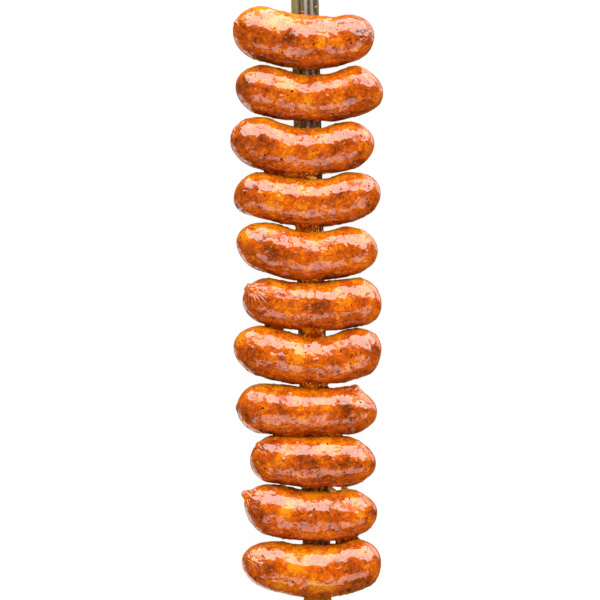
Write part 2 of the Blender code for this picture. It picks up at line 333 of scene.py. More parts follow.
# Fried crumbs in the gap below a link, or above the first link where the number is 0.
CrumbPatch = namedtuple("CrumbPatch", "link left right count size")
CRUMBS = (
    CrumbPatch(0, -9.0, 9.4, 6, 0.7), CrumbPatch(1, -9.5, 9.5, 20, 0.6), CrumbPatch(2, -9.5, 9.5, 16, 0.6),
    CrumbPatch(3, -6.0, 7.0, 9, 0.8), CrumbPatch(4, -2.0, 9.2, 8, 0.6), CrumbPatch(5, -3.0, 9.2, 18, 0.7),
    CrumbPatch(6, -9.0, -4.0, 6, 0.7), CrumbPatch(6, 3.0, 9.6, 9, 0.7), CrumbPatch(7, -9.0, 10.0, 14, 0.7),
    CrumbPatch(8, 3.0, 14.0, 7, 0.6), CrumbPatch(9, -9.4, -4.5, 9, 0.8), CrumbPatch(9, -2.0, 10.0, 8, 0.7),
    CrumbPatch(10, -9.5, 9.5, 20, 0.6),
)
CRUMB_PAST_LOW = 1.5
CRUMB_PAST_HIGH = 0.8
CRUMB_SCATTER = 4.5

# Flakes of pepper on each link, and the shares of its half length and radius that they lie in.
PEPPER_COUNT = 12
PEPPER_SIZE = 0.66
PEPPER_REACH = 0.88
PEPPER_ACROSS = (-0.86, 0.9)

# What is drawn for a crumb or a flake: its scale, then its half length and half width as shares of its
# size. Its half height is a fixed share.
Grit = namedtuple("Grit", "seed scales lengths widths height")
CRUMB = Grit(41, (0.5, 1.2), (0.6, 1.5), (0.5, 0.9), 0.55)
PEPPER = Grit(7, (0.4, 1.4), (0.8, 1.4), (0.6, 1.0), 0.3)
GRIT_SUBDIVISIONS = 2
GRIT_ROUGHNESS = 0.45
GRIT_KNOBS = 1.4
GRIT_LAST_SEED = 50.0

# Where the film of browned fat on the blade ends above the first link, and where clear fat starts and ends
# below the last one. The blade's stripes wander by up to half of STRIPE_WANDER to each side.
CLEAN_ABOVE = 178.0
GREASE_FADE = 50.0
HONEY_TOP = -208.0
HONEY_TOP_FADE = 4.0
HONEY_FOOT = -229.0
HONEY_FOOT_FADE = 8.0
STRIPE_WANDER = 1.6
STREAK_SMOOTHER = 0.08
STREAK_ROUGHER = 0.12

# Specks under the casing: how ragged they are, and where they fade from edge to core, as shares of their
# size.
SPECK_RAG = 1.1
SPECK_RAG_SCALE = 2.2
SPECK_EDGE = 0.5
SPECK_CORE = 0.32

# The photograph's frame, its middle a little left of the skewer and the skewer leaning left in it.
FRAME_WIDTH = 433.2
FRAME_CENTRE = (-8.1, 0.2)
FRAME_ROLL = math.radians(1.222)
SILHOUETTE_HEIGHT = 18.0

# The stage, in metres except for the gap in millimetres that keeps the floor clear of the links.
NEAREST_SEEN = 0.05
FARTHEST_SEEN = 50.0
FLOOR_HALF_SIZE = 6.0
FLOOR_GAP = 0.1
FLOOR_GLOW = 0.96
SURROUNDINGS_LIGHT = 0.25
SURROUNDINGS_REFLECTED = 0.45
LIGHT_DISTANCE = 3.0

# A window fills the directions from low to high, in degrees from straight up, and half_width to each side
# of its turn, which runs from +Y towards +X. The glows shine from below, for the rims to reflect.
WINDOW_PARTS = "name brightness turn low high half_width diffuse glossy"
Window = namedtuple("Window", WINDOW_PARTS, defaults=(True, True))
WINDOWS = (
    Window("window", "window", 10.0, 30.0, 115.0, 60.0),
    Window("fill", "fill", 168.0, 34.0, 66.0, 50.0),
    Window("left_glow", "glow", 230.0, 120.0, 152.0, 26.0, diffuse=False),
    Window("right_glow", "glow", 52.0, 112.0, 146.0, 26.0, diffuse=False),
    Window("soft", "soft", 200.0, 6.0, 66.0, 50.0, glossy=False),
)


def length(name, description, default):
    return bpy.props.FloatProperty(
        name=name, description=description, default=default, unit="LENGTH", precision=5, soft_min=0.0
    )


def share(name, description, default):
    return bpy.props.FloatProperty(
        name=name, description=description, default=default, subtype="FACTOR", min=0.0, max=1.0
    )


def colour(name, description, default):
    return bpy.props.FloatVectorProperty(
        name=name, description=description, default=default, subtype="COLOR", size=3, min=0.0, max=1.0
    )


def brightness(name, description, default):
    return bpy.props.FloatProperty(name=name, description=description, default=default, min=0.0)


class SausageShape(bpy.types.PropertyGroup):
    lump_height: length("Lumps", "Height of the broad lumps of the filling", 0.55 * MM)
    swell_height: length("Swells", "Height of the swells between lumps and dimples", 0.55 * MM)
    swell_length: length("Swell spacing", "Distance between swells", 12.0 * MM)
    dimple_height: length("Dimples", "Height of the dimples a finger's width apart", 0.42 * MM)
    dimple_length: length("Dimple spacing", "Distance between dimples", 7.5 * MM)
    grain_height: length("Grain", "Height of the coarse grain of the minced filling", 0.10 * MM)
    grain_length: length("Grain spacing", "Distance between grains", 3.2 * MM)
    bump_height: length("Bumps", "Height of the bits of filling that stand out", 0.9 * MM)
    wrinkle_height: length("Wrinkles", "Height of the fine wrinkles of the casing", 0.03 * MM)
    wrinkle_length: length("Wrinkle spacing", "Distance between wrinkles", 1.7 * MM)
    pleat_reach: length("Pleats", "How far the pleats run from a tie", 8.0 * MM)


class CasingLook(bpy.types.PropertyGroup):
    golden: colour("Golden", "Lightly browned casing", (0.68, 0.23, 0.002))
    orange: colour("Orange", "Casing between golden and browned", (0.55, 0.098, 0.001))
    browned: colour("Browned", "Well browned casing", (0.32, 0.047, 0.0006))
    charred: colour("Charred", "The darkest patches", (0.10, 0.015, 0.0004))
    red: colour("Red", "Bits of red pepper and lean meat under the casing", (0.55, 0.045, 0.001))
    pepper: colour("Pepper", "Ground pepper on the casing and under it", (0.020, 0.008, 0.003))
    fat: colour("Fat", "Flecks of fat", (0.80, 0.34, 0.06))
    # The darkest juice is partly painted shade where the links touch.
    burnt: colour("Burnt juice", "The darkest juice between the links", (0.060, 0.016, 0.001))
    pale: colour("Pale fat", "Fried fat that has stayed pale", (0.68, 0.38, 0.10))
    grease: share("Grease", "Roughness of the film of fat", 0.045)


class BladeLook(bpy.types.PropertyGroup):
    steel: colour("Steel", "The blade's bare metal", (0.30, 0.29, 0.25))
    olive: colour("Olive", "Metal stained by fat", (0.21, 0.19, 0.085))
    # The stain also stands for painted shade in the blade's grooves.
    stain_and_shade: colour("Stain", "Burnt-on fat in the grooves", (0.065, 0.060, 0.045))
    burnt: colour("Burnt", "The darkest burnt fat", (0.040, 0.016, 0.003))
    amber: colour("Amber", "Browned fat between the links", (0.26, 0.075, 0.004))
    honey: colour("Honey", "Clear fat below the last link", (0.44, 0.18, 0.004))
    roughness: share("Roughness", "Roughness of the used steel", 0.34)


class StageLook(bpy.types.PropertyGroup):
    floor: colour("Floor", "The pale floor", (0.05, 0.05, 0.05))
    surroundings: colour("Surroundings", "The dim room round the floor", (1.0, 0.48, 0.15))
    lens: bpy.props.FloatProperty(
        name="Lens", description="Focal length in millimetres", default=150.0, subtype="DISTANCE_CAMERA"
    )
    window: brightness("Window", "Brightness of the large light above the hollow sides", 3.7)
    fill: brightness("Fill", "Brightness of the smaller light on the other side", 1.4)
    glow: brightness("Glow", "Brightness of the lights that the rims reflect from below", 1.4)
    soft: brightness("Soft", "Brightness of the light that fills the shadows", 0.8)


PROPERTY_GROUPS = {
    "sausage_shape": SausageShape,
    "casing_look": CasingLook,
    "blade_look": BladeLook,
    "stage_look": StageLook,
}


def settings(name):
    return getattr(bpy.context.scene, name)


def in_mm(value):
    """A property's length in the millimetres that the shapes are worked out in."""
    return value / MM


# Blender objects


def new_object(name, data):
    obj = bpy.data.objects.new(name, data)
    bpy.context.scene.collection.objects.link(obj)
    return obj


def mesh_object(name, points, faces):
    """A smooth-shaded object at the origin, from points in millimetres."""
    mesh = bpy.data.meshes.new(name)
    mesh.from_pydata((np.asarray(points) * MM).tolist(), [], faces)
    mesh.validate()
    bm = bmesh.new()
    bm.from_mesh(mesh)
    bmesh.ops.recalc_face_normals(bm, faces=bm.faces)
    bm.to_mesh(mesh)
    bm.free()
    mesh.shade_smooth()
    return new_object(name, mesh)


def ring_faces(rings, sides):
    """Quads between neighbouring rings of points numbered ring by ring."""
    faces = []
    for start in range(0, (rings - 1) * sides, sides):
        for i in range(sides):
            j = (i + 1) % sides
            faces.append((start + i, start + j, start + sides + j, start + sides + i))
    return faces


def closed_faces(rings, sides):
    """Quads between neighbouring rings, and a face on each end."""
    last_ring = (rings - 1) * sides
    first_end = tuple(range(sides - 1, -1, -1))
    last_end = tuple(range(last_ring, last_ring + sides))
    return ring_faces(rings, sides) + [first_end, last_end]


def even_turns(count):
    """Angles evenly round a circle."""
    return 2.0 * math.pi * np.arange(count) / count


def cut_and_join(obj, joined, cutter):
    """Joins pieces to a closed mesh and cuts a slot in it, for good."""
    for operation, others in (("UNION", joined), ("DIFFERENCE", [cutter])):
        for other in others:
            modifier = obj.modifiers.new(operation.title(), "BOOLEAN")
            modifier.operation = operation
            modifier.solver = "MANIFOLD"
            modifier.object = other
    depsgraph = bpy.context.evaluated_depsgraph_get()
    mesh = bpy.data.meshes.new_from_object(obj.evaluated_get(depsgraph))
    obj.modifiers.clear()
    obj.data = mesh
    for other in joined:
        bpy.data.objects.remove(other)


# The link's form


def curl(link, x):
    """Rise of the centreline above its lowest point, without the droop of the tips."""
    side = LEFT if x < link.low else RIGHT
    span = link.reach[side] - SIGN[side] * link.low
    part = min(1.0, abs(x - link.low) / span)
    return link.rise[side] * math.sin(0.5 * math.pi * part) ** BEND_SHARPNESS


def ring_slope(link, x):
    """Slope that the rings stand square to."""
    return (curl(link, x + SLOPE_STEP) - curl(link, x - SLOPE_STEP)) / (2.0 * SLOPE_STEP)


def link_place(link):
    """Middle of the link's lowest point, as high as presses its fullest stretch flat."""
    return Vector((0.0, link.along, 0.5 * max(link.thick) - FLAT_DEPTH))


def spine(link, x):
    """The centreline at x: both ends curl up and their tips droop a little."""
    side = LEFT if x < link.low else RIGHT
    into_cap = max(0.0, 1.0 - (link.reach[side] - SIGN[side] * x) / link.cap[side])
    return link_place(link) + Vector((x, curl(link, x) - link.droop[side] * into_cap**2, 0.0))


def link_radius(link, x):
    """Radius across the centreline, with an elliptical round end on each side."""
    side = LEFT if x < 0 else RIGHT
    part = min(1.0, abs(x) / SHOULDER)
    part = part * part * (3.0 - 2.0 * part)
    radius = 0.5 * (link.thick[1] + (link.thick[2 * side] - link.thick[1]) * part)
    into_cap = max(0.0, 1.0 - (link.reach[side] - abs(x)) / link.cap[side])
    return radius * math.sqrt(max(0.0, 1.0 - into_cap**2))


def ring_stations(link, in_cap, along_body):
    """Places of the rings along a link, closer together where the ends turn round."""
    left = -link.reach[LEFT] + link.cap[LEFT]
    right = link.reach[RIGHT] - link.cap[RIGHT]
    angles = [0.5 * math.pi * i / in_cap for i in range(1, in_cap)]
    stations = [left - link.cap[LEFT] * math.cos(a) for a in angles]
    stations += [left + (right - left) * i / along_body for i in range(along_body + 1)]
    stations += [right + link.cap[RIGHT] * math.cos(a) for a in reversed(angles)]
    return stations


def noise_at(points, spacing, seed):
    """Smooth noise at each point, roughly between -1 and 1."""
    places = np.asarray(points) / spacing + np.array((seed, 0.0, 0.0))
    return np.array([noise.noise(place) for place in places.tolist()])


def tie_foot(link, side):
    """Where a tie leaves the round end, and the way it points."""
    tie = link.ties[side]
    turn, lift = math.radians(tie.turn), math.radians(tie.lift)
    level = math.cos(lift)
    forward = Vector((SIGN[side] * level * math.cos(turn), level * math.sin(turn), math.sin(lift)))
    core_x = SIGN[side] * (link.reach[side] - link.cap[side])
    half_thick = link_radius(link, core_x)
    stretch = Vector((forward.x / link.cap[side], forward.y / half_thick, forward.z / half_thick))
    return spine(link, core_x) + forward / stretch.length, forward


def pleats(points, link, side, shape):
    """Folds of the casing that run from a tie over the round end, round the pit that the tie sits in."""
    foot, forward = tie_foot(link, side)
    aim = np.array(forward)
    offset = points - np.array(foot)
    depth = offset @ aim
    outwards = offset - depth[:, None] * aim
    distance = np.linalg.norm(outwards, axis=1)
    level = np.array(forward.orthogonal().normalized())
    steep = np.cross(aim, level)
    angle = np.arctan2(outwards @ steep, outwards @ level)
    reach = in_mm(shape.pleat_reach)
    height = min(PLEAT_MOST, PLEAT_SHARE * link.ties[side].length)
    near = depth > -reach
    fade = np.exp(-((distance / reach) ** 2)) * near
    waves = np.cos(PLEAT_COUNT * angle + PLEAT_WANDER * noise_at(points, PLEAT_WANDER_LENGTH, seed=side))
    pit = -PIT_SHARE * height * np.exp(-((distance / PIT_REACH) ** 2)) * near
    return height * fade * waves * np.clip(distance / PLEAT_START, 0.0, 1.0) + pit


def seen_at(link, x, offset):
    """The place across the floor of a spot seen from above, at x and offset from the link's centreline."""
    return np.array((x, spine(link, x).y + offset))


def folds(points, link, number):
    """The dents and ridges of one link, as a radial offset."""
    total = np.zeros(len(points))
    for fold in FOLDS:
        if fold.link == number:
            away = points[:, :2] - seen_at(link, fold.x, fold.offset)
            turn = math.radians(fold.turn)
            along = away @ np.array((math.cos(turn), math.sin(turn)))
            across = away @ np.array((-math.sin(turn), math.cos(turn)))
            fade = np.exp(-((along / fold.half_length) ** 2) - (across / fold.half_width) ** 2)
            total += fold.height * fade
    return total


def paint_casing(obj, link, number):
    """Stores how much more or less than usual each point is browned, with painted shade and light across
    the link, and how wet, for the material.
    """
    points = np.empty(3 * len(obj.data.vertices))
    obj.data.vertices.foreach_get("co", points)
    points = points.reshape(-1, 3) / MM
    browning = np.zeros(len(points))
    for patch in PATCHES:
        if patch.link == number:
            away = points[:, :2] - seen_at(link, patch.x, patch.offset)
            size = patch.size * (1.0 + PATCH_RAGGEDNESS * noise_at(points, PATCH_RAG_LENGTH, seed=patch.x))
            browning += patch.browning * np.exp(-np.sum(away**2, axis=1) / size**2)
    along = np.clip(points[:, 0], -link.reach[LEFT], link.reach[RIGHT])
    rise = np.array([spine(link, x).y for x in along])
    share_across = (points[:, 1] - rise) / (0.5 * max(link.thick))
    # Painted shade on the edge towards the tip and painted light on the edge towards the butt, partly
    # browning.
    browning += np.interp(share_across, *zip(*SHADING_AND_BROWNING_ACROSS))
    wetness = np.interp(share_across, (WET_FROM, WET_TO), (0.0, 1.0))
    for name, values in (("browning", browning), ("wetness", wetness)):
        attribute = obj.data.attributes.new(name, "FLOAT", "POINT")
        attribute.data.foreach_set("value", values.astype(np.float32))


def casing_relief(points, outwards, fullness, link, number, shape):
    """How far each point of the casing stands out from the plain bent tube."""
    seed = LUMP_SEED_STEP * number
    firm = np.clip(FIRMNESS * fullness, 0.0, 1.0)
    relief = in_mm(shape.lump_height) * noise_at(points, LUMP_LENGTH, seed) * fullness
    relief += in_mm(shape.swell_height) * noise_at(points, in_mm(shape.swell_length), seed) * firm
    fine = in_mm(shape.dimple_height) * noise_at(points, in_mm(shape.dimple_length), DIMPLE_SEED)
    fine += in_mm(shape.grain_height) * noise_at(points, in_mm(shape.grain_length), GRAIN_SEED)
    fine += in_mm(shape.wrinkle_height) * noise_at(points, in_mm(shape.wrinkle_length), WRINKLE_SEED)
    bumps = noise_at(points, in_mm(shape.grain_length), BUMP_SEED)
    fine += in_mm(shape.bump_height) * np.clip(bumps - BUMP_START, 0.0, BUMP_MOST)
    relief += firm * fine
    for side in (LEFT, RIGHT):
        relief += firm * pleats(points, link, side, shape)
    from_below = np.clip(1.0 + outwards[:, 2] / FOLD_FADE, 0.0, 1.0)
    return relief + folds(points, link, number) * from_below


def link_mesh(link, number, shape, detail):
    """Points and faces of a link: rings round the centreline, closed by a pole at each end."""
    in_cap, along_body, sides = (round(detail * n) for n in LINK_DETAIL)
    stations = ring_stations(link, in_cap, along_body)
    angles = even_turns(sides)
    up = np.array((0.0, 0.0, 1.0))
    points, outwards, fullness = [], [], []
    for x in stations:
        across = np.array((-ring_slope(link, x), 1.0, 0.0))
        across /= np.linalg.norm(across)
        out = np.outer(np.cos(angles), across) + np.outer(np.sin(angles), up)
        radius = link_radius(link, x)
        points.append(np.array(spine(link, x)) + radius * out)
        outwards.append(out)
        fullness.append(np.full(sides, radius / link_radius(link, 0.0)))
    points, outwards, fullness = np.concatenate(points), np.concatenate(outwards), np.concatenate(fullness)
    points += casing_relief(points, outwards, fullness, link, number, shape)[:, None] * outwards
    points[:, 2] = np.maximum(points[:, 2], 0.0)
    poles = [np.array(spine(link, SIGN[side] * link.reach[side])) for side in (LEFT, RIGHT)]
    left_pole = len(points)
    right_pole = left_pole + 1
    last_ring = (len(stations) - 1) * sides
    faces = ring_faces(len(stations), sides)
    faces += [(left_pole, (i + 1) % sides, i) for i in range(sides)]
    faces += [(right_pole, last_ring + i, last_ring + (i + 1) % sides) for i in range(sides)]
    return np.vstack((points, poles)), faces


def tie_profile(tie):
    """Places along a tie and its widths there as shares of TIE_RADIUS: foot, taper, flare and blunt end."""
    foot_width = TIE_FOOT_WIDTH + TIE_FOOT_GROWTH * tie.length
    tip_width = TIE_TIP_WIDTH + TIE_TIP_GROWTH * tie.length
    profile = [(-TIE_SINK, TIE_ROOT_SHARE * foot_width)]
    for step in range(TIE_STEPS + 1):
        part = step / TIE_STEPS
        width = tip_width + (foot_width - tip_width) * (1.0 - part) ** TIE_TAPER
        width += tie.flare * math.exp(-(((part - FLARE_PLACE) / FLARE_LENGTH) ** 2))
        profile.append((TIE_TAPER_END * part * tie.length, width))
    profile.append((tie.length, TIE_END_WIDTH + TIE_END_FLARE * tie.flare))
    profile.append((TIE_BUTTON_PLACE * tie.length, TIE_BUTTON_WIDTH))
    return profile


def make_tie(link, number, side):
    """A twisted stub with ridges, frayed at its end, as a closed mesh sunk into the link."""
    tie = link.ties[side]
    foot, forward = tie_foot(link, side)
    facing = np.array(forward.to_track_quat("Z", "Y").to_matrix())
    angles = even_turns(TIE_SIDES)
    profile = tie_profile(tie)
    points = []
    for along, width in profile:
        turned = TIE_RIDGES * (angles - TIE_TWIST * along)
        ridges = TIE_RIDGE_SHARE * np.cos(turned)
        creases = TIE_CREASE_SHARE * np.cos(TIE_CREASES * turned + side)
        radius = TIE_RADIUS * width * (1.0 + ridges + creases)
        ring = (radius * np.cos(angles), radius * np.sin(angles), np.full(TIE_SIDES, along))
        points.append(np.stack(ring, axis=1) @ facing.T + np.array(foot))
    points = np.concatenate(points)
    points[:, 2] = np.maximum(points[:, 2], 0.0)
    return mesh_object(f"tie_{number}_{side}", points, closed_faces(len(profile), TIE_SIDES))


def tube_mesh(path, facings, half_widths):
    """A closed tube round a path, its rings turned by the ways that the path's points face."""
    path = np.asarray(path)
    points = []
    for along, middle, facing, half_width in zip(np.gradient(path, axis=0), path, facings, half_widths):
        aside = np.cross(along, facing)
        aside /= np.linalg.norm(aside)
        for angle in even_turns(TUBE_SIDES):
            out = math.cos(angle) * aside + math.sin(angle) * np.asarray(facing)
            points.append(middle + half_width * out)
    return points, closed_faces(len(path), TUBE_SIDES)


def rib_mesh(tree, start, aim, towards, reach, half_width, seed):
    """One thin fold that follows the link's surface from start along aim, seen against the way towards."""
    path, facings, half_widths = [], [], []
    for step in range(RIB_STEPS + 1):
        part = step / RIB_STEPS
        wander = RIB_WANDER * noise.noise((seed, RIB_WANDER_TURNS * part, 0.5)) * aim.cross(towards)
        above = start + reach * part * aim + wander + RIB_CAST * towards
        place, facing, _, _ = tree.ray_cast(above * MM, -towards)
        if place is None or (path and (place / MM - path[-1]).length > RIB_LEAP):
            break
        width = half_width * math.sin(math.pi * (RIB_SWELL_START + RIB_SWELL_SPAN * part))
        place = place / MM - RIB_SINK * width * facing
        place.z = max(place.z, RIB_CLEARANCE * half_width)
        path.append(place)
        facings.append(facing)
        half_widths.append(width)
    if len(path) < RIB_LEAST_POINTS:
        return None
    return tube_mesh([tuple(place) for place in path], facings, half_widths)


def tie_ribs(tree, link, number, side):
    """The thin folds round one tie, in order round it."""
    tie = link.ties[side]
    foot, forward = tie_foot(link, side)
    level = forward.orthogonal().normalized()
    steep = forward.cross(level)
    strength = min(tie.length, RIB_TIE_MOST)
    half_width = RIB_WIDTH + RIB_WIDTH_GROWTH * strength
    ribs = []
    for rib in range(RIB_COUNT):
        uneven = noise.noise((RIB_NOISE_STEP * rib, LINK_NOISE_STEP * number, SIDE_NOISE_STEP * side))
        angle = 2.0 * math.pi * (rib + RIB_UNEVEN_TURN * uneven) / RIB_COUNT
        aim = math.cos(angle) * level + math.sin(angle) * steep
        reach = (RIB_REACH + RIB_REACH_GROWTH * strength) * (1.0 + RIB_UNEVEN_REACH * uneven)
        ribs.append(rib_mesh(tree, foot + RIB_START * aim, aim, forward, reach, half_width, rib + side))
    return ribs


def fan_ribs(tree, link, fan):
    """The pleats of one fan, in order."""
    up = Vector((0.0, 0.0, 1.0))
    middle = Vector((fan.x, fan.y, 2.0 * link.thick[1]))
    ribs = []
    for rib in range(fan.count):
        uneven = noise.noise((FAN_NOISE_STEP * rib, FAN_NOISE_PLACE, fan.x))
        turned = (fan.last - fan.first) * (rib + FAN_UNEVEN_TURN * uneven) / (fan.count - 1)
        angle = math.radians(fan.first + turned)
        aim = Vector((math.cos(angle), math.sin(angle), 0.0))
        reach = fan.length * (1.0 + FAN_UNEVEN_LENGTH * uneven)
        ribs.append(rib_mesh(tree, middle + FAN_START * aim, aim, up, reach, fan.half_width, rib))
    return ribs


def make_ribs(obj, link, number):
    """Thin folds of the casing that fan out over the link, sunk a little into it.

    Every second fold goes to another object, so that no two that might touch are in the same one.
    """
    tree = BVHTree.FromObject(obj, bpy.context.evaluated_depsgraph_get())
    groups = {}
    for side in (LEFT, RIGHT):
        for rib, mesh in enumerate(tie_ribs(tree, link, number, side)):
            groups.setdefault(("tie", rib % 2), []).append(mesh)
    for fan in FANS:
        if fan.link == number:
            for rib, mesh in enumerate(fan_ribs(tree, link, fan)):
                groups.setdefault(("fan", rib % 2), []).append(mesh)
    made = []
    for (kind, part), meshes in groups.items():
        meshes = [mesh for mesh in meshes if mesh]
        if meshes:
            made.append(mesh_object(f"{kind}_ribs_{number}_{part}", *merged(meshes)))
    return made


def gap_edges(number, x):
    """Where the gap below a link ends at x: on the next link, and on the link itself."""
    above, below = LINKS[number - 1], LINKS[number]
    return spine(below, x).y + link_radius(below, x), spine(above, x).y - link_radius(above, x)


def juice_mesh(juice):
    """A closed lump that fills the gap between two links and sags a little along its middle."""
    wide = juice.right - juice.left
    rings = max(JUICE_LEAST_RINGS, round(wide / JUICE_SPACING))
    middle = 0.5 * (JUICE_TOP + JUICE_FOOT)
    points = []
    for ring in range(rings + 1):
        part = ring / rings
        from_end = min(part, 1.0 - part) * wide
        full = math.sqrt(1.0 - (1.0 - min(1.0, from_end / JUICE_ROUNDING)) ** 2)
        for i in range(2 * JUICE_STEPS):
            over = i < JUICE_STEPS
            share_across = i / (JUICE_STEPS - 1) if over else 1.0 - (i - JUICE_STEPS) / (JUICE_STEPS - 1)
            inset = JUICE_INSET * (1.0 - (2.0 * share_across - 1.0) ** 2)
            x = juice.left + inset + (wide - 2.0 * inset) * part
            low, high = gap_edges(juice.link, x)
            y = low - JUICE_SINK + (high - low + 2.0 * JUICE_SINK) * share_across
            z = JUICE_TOP - JUICE_DROP + JUICE_RISE * share_across**JUICE_RISE_POWER if over else JUICE_FOOT
            height_share = JUICE_END_SHARE + (1.0 - JUICE_END_SHARE) * full
            points.append((x, y, middle + (z - middle) * height_share))
    points = np.array(points)
    points[:, 2] += sum(lumps.height * noise_at(points, lumps.spacing, lumps.seed) for lumps in JUICE_LUMPS)
    return points, closed_faces(rings + 1, 2 * JUICE_STEPS)


def thread_mesh(thread):
    """A thin, uneven thread of fat that sags from a link to the next one."""
    start_y = gap_edges(thread.link, thread.from_x)[1] + THREAD_SINK
    end_y = gap_edges(thread.link, thread.to_x)[0] - THREAD_SINK
    start = np.array((thread.from_x, start_y, THREAD_HEIGHT))
    end = np.array((thread.to_x, end_y, THREAD_HEIGHT))
    path, half_widths = [], []
    for step in range(THREAD_STEPS + 1):
        part = step / THREAD_STEPS
        swing = THREAD_SWING * math.sin(THREAD_HALF_WAVES * math.pi * part)
        sag = THREAD_SAG * math.sin(math.pi * part)
        middle = start + (end - start) * part + np.array((0.0, swing, -sag))
        lump = noise.noise((middle / THREAD_LUMP_LENGTH).tolist())
        half_width = 0.5 * thread.thickness * (1.0 + THREAD_LUMP_SHARE * lump)
        path.append(middle)
        half_widths.append(half_width * (1.0 + THREAD_FOOT_SHARE * (2.0 * part - 1.0) ** 4))
    return tube_mesh(path, [np.array((0.0, 0.0, 1.0))] * len(path), half_widths)


def lump_mesh(middle, facing, lengths, seed):
    """An irregular lump, its three half lengths turned so that the last lies along facing."""
    bm = bmesh.new()
    bmesh.ops.create_icosphere(bm, subdivisions=GRIT_SUBDIVISIONS, radius=1.0)
    turned = facing.to_track_quat("Z", "Y").to_matrix() @ Matrix.Rotation(seed, 3, "Z")
    points = []
    for vert in bm.verts:
        rough = 1.0 + GRIT_ROUGHNESS * noise.noise(GRIT_KNOBS * vert.co + Vector((seed, 0.0, 0.0)))
        points.append(middle + turned @ (Vector(n * c for n, c in zip(lengths, vert.co)) * rough))
    faces = [tuple(v.index for v in face.verts) for face in bm.faces]
    bm.free()
    return points, faces


def merged(meshes):
    """Many meshes as the points and faces of one."""
    points, faces = [], []
    for more_points, more_faces in meshes:
        first = len(points)
        points.extend(tuple(point) for point in more_points)
        faces.extend(tuple(first + i for i in face) for face in more_faces)
    return points, faces


def surface_below(trees, x, y):
    """The highest place of the given pieces below a spot, in millimetres, and the way it faces."""
    best = None
    for tree in trees:
        place, facing, _, _ = tree.ray_cast(Vector((x, y, 100.0)) * MM, Vector((0.0, 0.0, -1.0)))
        if place and (best is None or place.z > best[0].z):
            best = (place, facing)
    if best is None:
        raise RuntimeError(f"nothing lies below x {x:.1f}, y {y:.1f}")
    return best[0] / MM, best[1]


def search_trees(names):
    depsgraph = bpy.context.evaluated_depsgraph_get()
    return [BVHTree.FromObject(bpy.data.objects[name], depsgraph) for name in names]


def drawn_lump(draw, grit, size, trees, x, y):
    """A lump of a drawn size that lies on the highest of the given pieces at x and y."""
    middle, facing = surface_below(trees, x, y)
    size *= draw.uniform(*grit.scales)
    lengths = (size * draw.uniform(*grit.lengths), size * draw.uniform(*grit.widths), grit.height * size)
    return lump_mesh(middle, facing, lengths, draw.uniform(0.0, GRIT_LAST_SEED))


def finish_piece(obj, material):
    obj.data.materials.append(material)
    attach(obj, BODY)


def blade_relief(x):
    """Height of the pressed ribs and grooves above the flat of the blade."""
    return sum(flute.height * hump(x - flute.x, flute.half_width) for flute in FLUTES)


def hump(distance, half_width):
    """A smooth bump, 1 in its middle and 0 from half_width outwards."""
    return math.cos(0.5 * math.pi * min(1.0, abs(distance) / half_width)) ** 2


def blade_outline(clearance, steps, edge_radius):
    """The blade's closed outline across its length, with its long edges rounded."""
    half_width = 0.5 * BLADE_WIDTH + clearance
    half_thickness = 0.5 * BLADE_THICKNESS + clearance
    outline = []
    for face in (1, -1):
        for i in range(steps + 1):
            x = face * half_width * math.sin(math.pi * (i / steps - 0.5))
            from_edge = half_width - abs(x)
            inset = 0.0
            if from_edge < edge_radius:
                inset = edge_radius - math.sqrt(edge_radius**2 - (edge_radius - from_edge) ** 2)
            outline.append((x, blade_relief(x) + face * (half_thickness - inset)))
    return outline


def blade_width_share(y):
    """Share of the full width that is left at y, narrowed by the point and by the rounded butt corners."""
    from_tip = y - TIP_Y
    from_butt = BUTT_Y - y
    if from_tip < POINT_LENGTH:
        least = POINT_WIDTH / BLADE_WIDTH
        return least + (1.0 - least) * math.sin(0.5 * math.pi * from_tip / POINT_LENGTH)
    if from_butt < BUTT_CORNER:
        inset = BUTT_CORNER - math.sqrt(BUTT_CORNER**2 - (BUTT_CORNER - from_butt) ** 2)
        return 1.0 - 2.0 * inset / BLADE_WIDTH
    return 1.0


def swept_blade(name, stations, clearance, steps, edge_radius):
    outline = blade_outline(clearance, steps, edge_radius)
    points = [
        (x * blade_width_share(y), y, BLADE_HEIGHT + z)
        for y in stations
        for x, z in outline
    ]
    return mesh_object(name, points, closed_faces(len(stations), len(outline)))


def blade_stations():
    """Places of the blade's rings along it, closer together at the point and round the butt's corners."""
    body_start = TIP_Y + POINT_LENGTH
    body_length = BUTT_Y - BUTT_CORNER - TIP_Y - POINT_LENGTH
    body_steps = round(body_length / BLADE_SPACING)
    corner_angles = [0.5 * math.pi * i / CORNER_STEPS for i in range(CORNER_STEPS + 1)]
    point = [TIP_Y + POINT_LENGTH * i / POINT_STEPS for i in range(POINT_STEPS)]
    body = [body_start + body_length * i / body_steps for i in range(body_steps)]
    corner = [BUTT_Y - BUTT_CORNER * (1.0 - math.sin(angle)) for angle in corner_angles]
    return point + body + corner


# Materials


def set_inputs(tree, node, values):
    """Joins each input that is given as another node's output, and sets any other."""
    for key, value in values.items():
        if isinstance(value, bpy.types.NodeSocket):
            tree.links.new(value, node.inputs[key])
        else:
            node.inputs[key].default_value = value


def put(tree, kind, inputs, **options):
    """Adds a node."""
    node = tree.nodes.new("ShaderNode" + kind)
    for name, value in options.items():
        setattr(node, name, value)
    set_inputs(tree, node, inputs)
    return node


def noise_node(tree, place, spacing, detail=3.0, roughness=0.55, distortion=0.0):
    """Noise whose features are about as far apart as spacing, in millimetres."""
    inputs = {
        "Vector": place,
        "Scale": 1.0 / (spacing * MM),
        "Detail": detail,
        "Roughness": roughness,
        "Distortion": distortion,
    }
    return put(tree, "TexNoise", inputs).outputs["Fac"]


def step_node(tree, value, low, high, least=0.0, most=1.0):
    """The least where the value is low and the most where it is high, with a smooth step between."""
    inputs = {"Value": value, "From Min": low, "From Max": high, "To Min": least, "To Max": most}
    return put(tree, "MapRange", inputs, interpolation_type="SMOOTHSTEP").outputs["Result"]


